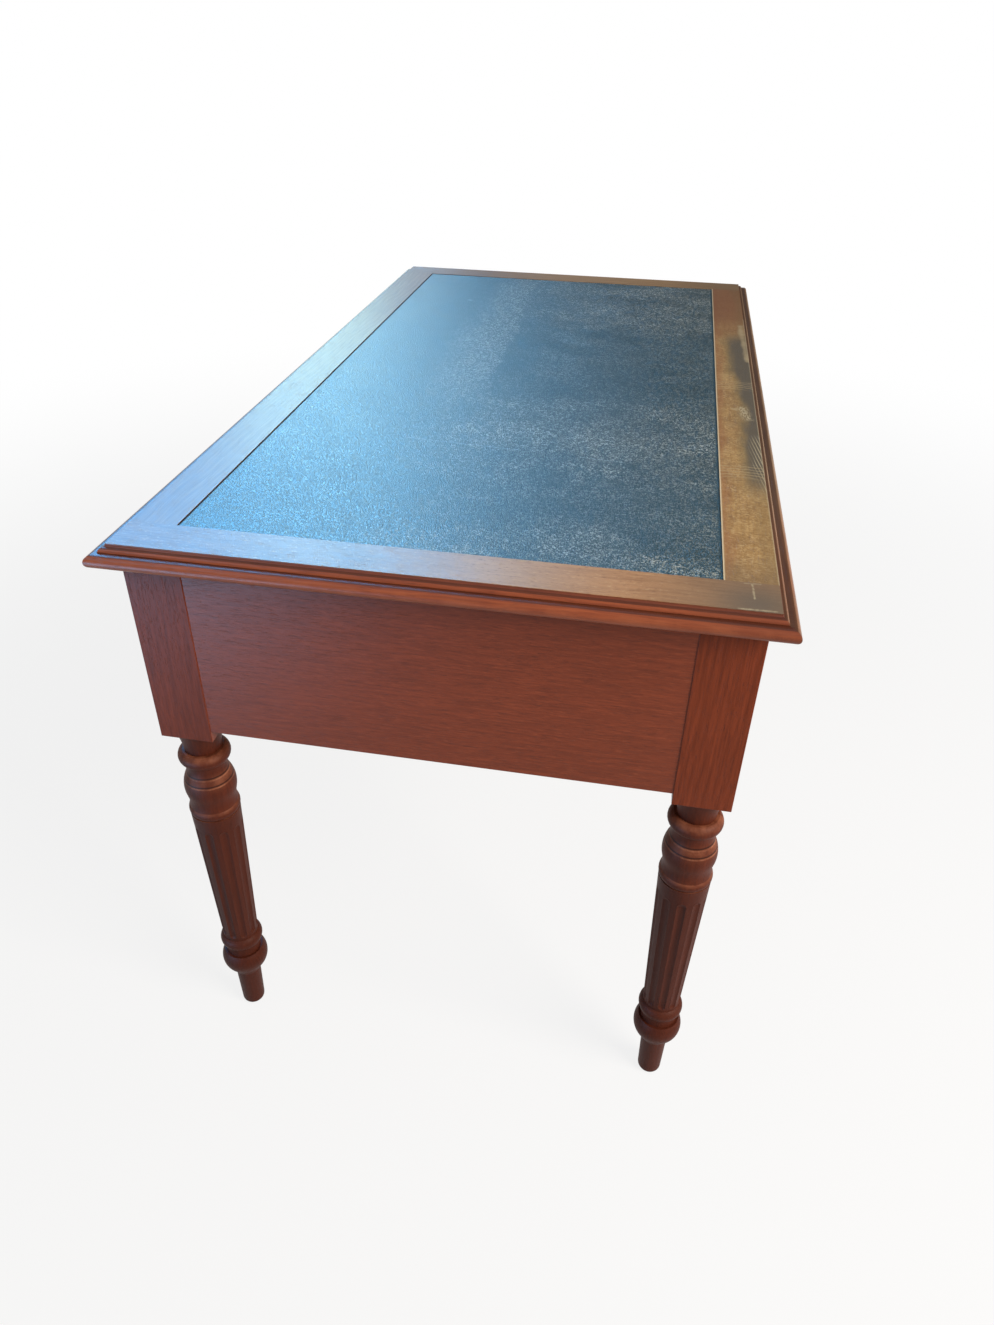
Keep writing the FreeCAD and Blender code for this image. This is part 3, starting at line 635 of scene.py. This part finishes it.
def front_rail_wood():
    """The rail in front of the sitter: rubbed to a honey colour, stained and scratched along its edge."""
    wood = TopWood("top_wood_front", "X", honey, 4.1)
    drift = wood.sway(wood.grain_noise(drift_scale, 4.0, 0.6), drift_reach)
    along = wood.plus(wood.x, drift)
    side = wood.plus(wood.y, drift)
    wood.mottle(wood.grain_noise(fleck_scale, 3.0, 0.65), light_flecks, dark_flecks)
    wood.mottle(wood.noise(wood.place, blotch_scale, 3.0, 0.6), light_blotches, dark_blotches)
    wood.mottle(wood.grain_noise(ripple_scale, 3.0, 0.65, ripple_swirl), light_ripple, dark_ripple)
    wood.paint_face(wood.ramp(side, *seam_side_fade), 0.45, seam_side_red)
    wood.paint_face(wood.ramp(along, *far_end_fade), 0.85, far_end_red)
    wood.paint_face(wood.fall(side, *edge_side_fade), 0.35, edge_side_brown)
    wood.paint_face(wood.fall(along, *near_end_fade), 0.55, near_end_brown)
    stained = wood.band(wood.x, *stain_run)
    spill = wood.plus(side, wood.times(wood.band(wood.x, *stain_spread_run), -stain_spread))
    wood.paint_face(wood.times(wood.fall(spill, *stain_border_fade), stained), 0.6, stain_border)
    wood.paint_face(wood.times(wood.fall(spill, *stain_core_fade), stained), 0.8, stain_core)
    wood.paint_face(wood.ragged_streak(bare_strip, bare_strip_scale), 0.85, bare_wood)
    chalk = wood.ramp(wood.grain_noise(chalk_scale, 3.0, 0.7), 0.42, 0.60)
    splashed = wood.plus(wood.streak(*splash), wood.streak(*splash_tail))
    wood.paint_face(wood.times(chalk, splashed), 0.9, pale_scratch)
    wood.paint_face(edge_scratches(wood, drift, side), 0.75, pale_scratch)
    for centre in arch_centres:
        wood.paint_face(arches(wood, centre), 0.5, bare_wood)
    wood.paint_face(wood.streak(*worn_edge), 0.6, pale_scratch)
    # Worn edge and painted highlight: a pale line beside the leather
    wood.paint_face(wood.streak(*seam_wear_and_highlight), 0.9, seam_cream_and_highlight)
    return wood.done()


def edge_scratches(wood, drift, side):
    """Close slanted scratches that run out over the front edge."""
    across = wood.times(wood.plus(wood.y, wood.times(drift, 0.1)), scratch_rate)
    phase = wood.plus(across, wood.times(wood.x, -scratch_slant))
    lines = wood.ramp(wood.math("SINE", phase), 0.2, 0.95)
    return wood.times(lines, wood.band(wood.x, *scratch_run), wood.fall(side, *scratch_edge_fade))


def arches(wood, centre):
    """Pale crossing lines where the saw met a dip in the grain."""
    from_x = wood.plus(wood.x, -centre[0])
    from_y = wood.plus(wood.y, -centre[1])
    reach = wood.length(from_x, wood.times(from_y, 0.7), 0.0)
    wobble = wood.times(wood.noise(wood.place, 90.0, 3.0, 0.5), 0.01)
    lines = wood.ramp(wood.math("SINE", wood.times(wood.plus(reach, wobble), arch_rate)), 0.2, 0.9)
    return wood.times(lines, wood.ramp(from_x, 0.015, 0.035), wood.band(reach, *arch_ring))


def plain_wood(name, grain, colours, shift):
    return Wood(name, grain, colours, shift).done()


# Leather: colours, and cycles of its textures per metre
leather_blue = (rgb(0.010, 0.026, 0.031), rgb(0.028, 0.055, 0.064))
# Colour of the dust, and of the painted pool of sunlight on it in the wedge
dust_and_sunlight_grey = rgb(0.53, 0.55, 0.49)
mark_grey = rgb(0.50, 0.58, 0.58)
# Painted shade for the gap along the leather's back edge
gap_painted_shade = rgb(0.006, 0.006, 0.006)
leather_relief = 0.00021
pebble_scale = 780.0
patch_scale = (17.0, 9.0)
mottling_scale = 180.0
speck_scale = 600.0
scuff_scale = 30.0
mark_scale = 300.0

# Leather: where the dust grows thicker or thinner, and its share at either end; a wedge of painted sunlight
# on the dust
dust_to_back = (-0.05, 0.20, 1.0, 0.12)
dust_to_far_end = (0.10, 0.50, 1.0, 1.3)
dust_to_near_end = (-0.59, -0.48, 0.75, 1.0)
wiped_bands = ((-0.06, 0.20, 0.07), (-0.48, -0.40, 0.07))
wiped_share = 0.62
sunlit_wedge_front_fade = (0.036, 0.056)
sunlit_wedge_back_fade = (0.075, 0.17)
sunlit_wedge_along = (-0.32, 0.05, 0.0, 0.95)

# Leather: scuffs and small marks, each as its start, its end and its width
leather_scuffs = (
    ((0.50, -0.04), (0.48, -0.27), 0.060),
    ((0.30, -0.02), (0.28, -0.27), 0.050),
    ((-0.24, 0.02), (-0.25, -0.27), 0.100),
    ((-0.540, -0.10), (-0.550, -0.27), 0.036),
)
leather_marks = (
    ((0.386, 0.161), (0.382, 0.157), 0.007),
    ((0.098, 0.071), (0.090, 0.067), 0.007),
    ((-0.283, 0.107), (-0.294, -0.038), 0.0022),
    ((-0.300, -0.111), (-0.307, -0.164), 0.0022),
)


def dust_and_sunlit_wedge(leather, patches):
    """How thick the dusting lies: thin to the back, wiped off in bands and settled in scuffs; a wedge is
    painted sunlight on it.
    """
    dust_and_sunlight = leather.ramp(patches, 0.35, 0.72, 0.44, 1.0)
    dust_and_sunlight = leather.times(dust_and_sunlight, leather.ramp(leather.y, *dust_to_back))
    dust_and_sunlight = leather.times(dust_and_sunlight, leather.ramp(leather.x, *dust_to_far_end))
    dust_and_sunlight = leather.times(dust_and_sunlight, leather.ramp(leather.x, *dust_to_near_end))
    drift = leather.sway(leather.noise(leather.place, 15.0, 4.0, 0.65), 0.03)
    along = leather.plus(leather.x, leather.times(drift, 3.0))
    side = leather.plus(leather.y, drift)
    for run in wiped_bands:
        wiped = leather.band(along, *run)
        dust_and_sunlight = leather.times(dust_and_sunlight, leather.ramp(wiped, 0.0, 1.0, 1.0, wiped_share))
    # Painted light: a wedge of dust colour standing for a pool of sunlight on the dust
    sunlit_wedge = leather.times(leather.ramp(side, *sunlit_wedge_front_fade), leather.fall(side, *sunlit_wedge_back_fade),
                          leather.ramp(along, *sunlit_wedge_along))
    dust_and_sunlight = leather.most(dust_and_sunlight, sunlit_wedge)
    for line in leather_scuffs:
        dust_and_sunlight = leather.most(dust_and_sunlight, leather.ragged_streak(line, scuff_scale))
    clean_edge = leather.ramp(leather.y, leather_low.y + 0.001, leather_low.y + 0.004)
    return leather.times(dust_and_sunlight, clean_edge)


def writing_leather():
    """Dark blue-green grained leather with a dusting, scuffs and a painted sunlit wedge, and painted shade
    at the back rail.
    """
    leather = Paint("writing_leather")
    pebbles = leather.add("ShaderNodeTexVoronoi", {"Vector": leather.place, "Scale": pebble_scale},
                          feature="F1")
    grain = leather.fall(pebbles.outputs["Distance"], 0.15, 0.75)
    patch_x, patch_y = patch_scale
    patch_place = leather.vector(leather.times(leather.x, patch_x), leather.times(leather.y, patch_y), 0.0)
    patches = leather.noise(patch_place, 1.0, 5.0, 0.65)
    mottling = leather.ramp(leather.noise(leather.place, mottling_scale, 3.0, 1.0), 0.42, 0.58, 0.15, 1.15)
    specks = leather.ramp(leather.noise(leather.place, speck_scale, 1.0, 0.6), 0.46, 0.58)
    # The dust colour also carries the painted sunlit wedge
    dust_and_sunlight_share = leather.times(dust_and_sunlit_wedge(leather, patches), specks, mottling, 0.78)
    colour = leather.mix(dust_and_sunlight_share, leather.mix(patches, *leather_blue), dust_and_sunlight_grey)
    for line in leather_marks:
        mark = leather.times(leather.ragged_streak(line, mark_scale), 0.3)
        colour = leather.mix(mark, colour, mark_grey)
    # Painted shade: a near-black, fully rough strip along the leather's edge at the back rail
    gap_shade = leather.ramp(leather.y, leather_high.y - 0.0022, leather_high.y - 0.0012)
    colour = leather.mix(gap_shade, colour, gap_painted_shade)
    leather.bump(grain, leather_relief)
    leather.shine(0.48)
    gloss = leather.plus(leather.times(patches, 0.16), 0.27)
    return leather.finish(colour, leather.most(gloss, gap_shade))


steel_grey = (rgb(0.16, 0.14, 0.12), rgb(0.34, 0.32, 0.29))


def steel():
    metal = Paint("screw_steel")
    worn = metal.noise(metal.place, 900.0, 3.0, 0.6)
    metal.put(metal.shader.inputs["Metallic"], 1.0)
    return metal.finish(metal.mix(worn, *steel_grey), metal.plus(metal.times(worn, 0.3), 0.3))


def drawer_pieces(*pieces):
    return [f"drawer_{side}_{piece}" for side in ("left", "right") for piece in pieces]


def carriage_pieces():
    places = ("left", "centre", "right")
    return [f"{kind}_{place}" for kind in ("runner", "kicker", "guide") for place in places]


# Pieces that share a finish: nodes, material, axis of the grain, the colours of a plain wood, and the shift
# of the pattern
polished_pieces = (
    (["end_apron_left", "end_apron_right"], "apron_wood_end", "Y", 1.7),
    (["back_apron", "front_top_rail", "front_bottom_rail"], "apron_wood_long", "X", 2.9),
    (["drawer_divider"], "divider_wood", "Z", 0.6),
    (drawer_pieces("front"), "drawer_front_wood", "X", 6.3),
    (drawer_pieces("knob_left", "knob_right"), "knob_wood", "Y", 3.7),
)
plain_pieces = (
    (["top_panel"], "panel_wood", "X", inner_brown, 7.9),
    (carriage_pieces(), "carriage_wood", "Y", inner_brown, 8.3),
    (["drawer_stops"], "stop_wood", "X", inner_brown, 9.1),
    (drawer_pieces("side_left", "side_right"), "drawer_side_wood", "Y", lining_pale, 10.3),
    (drawer_pieces("back", "bottom"), "drawer_bottom_wood", "X", lining_pale, 11.7),
)


def dress(names, material):
    for name in names:
        nodes[name].material_slots[0].material = material


def dress_table():
    dress(["top_end_rail_left"], near_rail_wood())
    dress(["top_end_rail_right"], far_rail_wood())
    dress(["top_front_rail"], front_rail_wood())
    dress(["top_back_rail"], back_rail_wood())
    dress(["leg_front_left", "leg_front_right", "leg_back_left", "leg_back_right"], leg_wood())
    for names, *finish in polished_pieces:
        dress(names, frame_wood(*finish))
    for names, *finish in plain_pieces:
        dress(names, plain_wood(*finish))
    dress(["leather_inset"], writing_leather())
    dress(["top_screws"], steel())


add_camera()
light_world()
add_floor()
add_dark_card()
add_lamps()
dress_table()
bpy.context.scene.view_settings.view_transform = "Standard"
